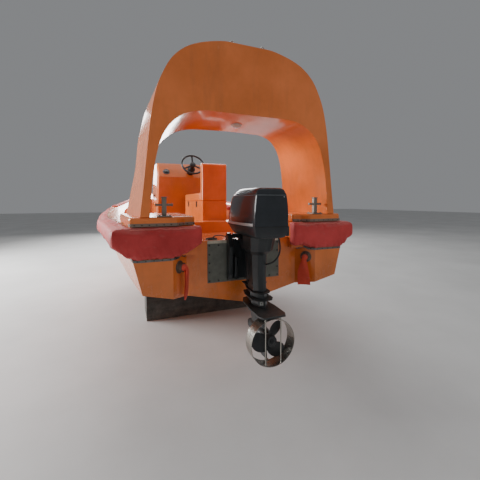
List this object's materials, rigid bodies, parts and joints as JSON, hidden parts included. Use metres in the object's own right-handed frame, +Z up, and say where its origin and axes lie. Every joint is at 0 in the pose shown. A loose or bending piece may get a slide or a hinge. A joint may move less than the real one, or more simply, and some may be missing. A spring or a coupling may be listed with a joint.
{
  "type": "open rescue boat with self-righting arch and outboard engine",
  "caption": "Open rescue boat: V hull with cockpit, console, straddle seat, self-righting arch, foam fenders and a tilting outboard engine, standing on its support blocks.",
  "frame": {"origin": "on the floor under the boat, on its centreline, half-way between the engine's aft face and the bow fender's nose", "axes": "+X to starboard, +Y to the bow, +Z up"},
  "size_m": [2.64, 6.354, 2.7466],
  "materials": {
    "grp_orange": "glossy orange gelcoat on glass fibre, lightly dusty",
    "fender_red": "red coated fabric cover over foam, wrinkled at its lower edge",
    "drain_cloth": "limp orange-red cloth sleeve",
    "galvanised": "dull galvanised steel",
    "stainless": "polished stainless steel",
    "transom_grey": "dull grey aluminium plate, stained",
    "engine_black": "gloss black engine paint",
    "cast_black": "satin black cast aluminium",
    "rubber_black": "matt black rubber and plastic",
    "block_dark": "dark stained, dusty support block",
    "lamp_lens": "frosted lamp dome",
    "sole_grey": "grey non-slip cockpit sole"
  },
  "bodies": {
    "boat": {"hull": "grp_orange", "support_block_aft": "block_dark", "support_block_forward": "block_dark", "cockpit_sole": "sole_grey", "quarter_pad_starboard": "grp_orange", "quarter_pad_port": "grp_orange", "arch": "grp_orange", "arch_lamp": "lamp_lens", "arch_eye_port": "stainless", "arch_eye_starboard": "stainless", "fender_starboard": "fender_red", "fender_port": "fender_red", "fender_bow": "fender_red", "bitt_port": "galvanised", "bitt_starboard": "galvanised", "bitt_bow": "galvanised", "transom_plate": "transom_grey", "scupper_starboard": "galvanised", "scupper_port": "galvanised", "drain_sleeve_starboard": "drain_cloth", "drain_sleeve_port": "drain_cloth", "bow_pad_starboard": "fender_red", "bow_pad_port": "fender_red", "seat_base": "grp_orange", "seat_backrest": "grp_orange", "seat_latch_1": "rubber_black", "seat_latch_2": "rubber_black", "console": "grp_orange", "compass": "rubber_black", "throttle_box": "rubber_black", "steering_column": "cast_black", "clamp_bracket": "cast_black", "cable_gland": "rubber_black", "engine_cable": "rubber_black"},
    "swivel": {"swivel_bracket": "cast_black"},
    "engine": {"engine_cowl": "engine_black", "engine_pan": "engine_black", "powerhead": "cast_black", "engine_leg": "cast_black", "lower_unit": "cast_black", "propeller_guard": "stainless"},
    "screw": {"propeller": "engine_black"},
    "wheel": {"steering_wheel": "rubber_black"},
    "lid": {"seat_lid": "grp_orange"},
    "door": {"console_door": "grp_orange"}
  },
  "joints": [
    {"name": "engine_tilt", "type": "hinge", "parent": "boat", "child": "swivel", "pos_m": [0, -2.628, 1.165], "axis": [-1, 0, 0], "range_deg": [0, 55]},
    {"name": "engine_steer", "type": "hinge", "parent": "swivel", "child": "engine", "pos_m": [0, -2.733, 1], "axis": [0, 0, 1], "range_deg": [-30, 30]},
    {"name": "propeller_spin", "type": "hinge", "parent": "engine", "child": "screw", "pos_m": [0, -3.098, 0.46], "axis": [0, 1, 0], "continuous": true},
    {"name": "helm_turn", "type": "hinge", "parent": "boat", "child": "wheel", "pos_m": [0, -0.468, 2.034], "axis": [0, -0.8829, 0.4695], "range_deg": [-450, 450]},
    {"name": "seat_lid_hinge", "type": "hinge", "parent": "boat", "child": "lid", "pos_m": [0.145, -1.08, 1.4653], "axis": [0, 1, 0], "range_deg": [0, 100]},
    {"name": "console_door_hinge", "type": "hinge", "parent": "boat", "child": "door", "pos_m": [-0.54714, 0.2395, 1.5], "axis": [-0.0394, 0, -0.9992], "range_deg": [0, 100]}
  ],
  "couplings": [
    {"joint": "helm_turn", "follows": "engine_steer", "ratio": -15}
  ]
}
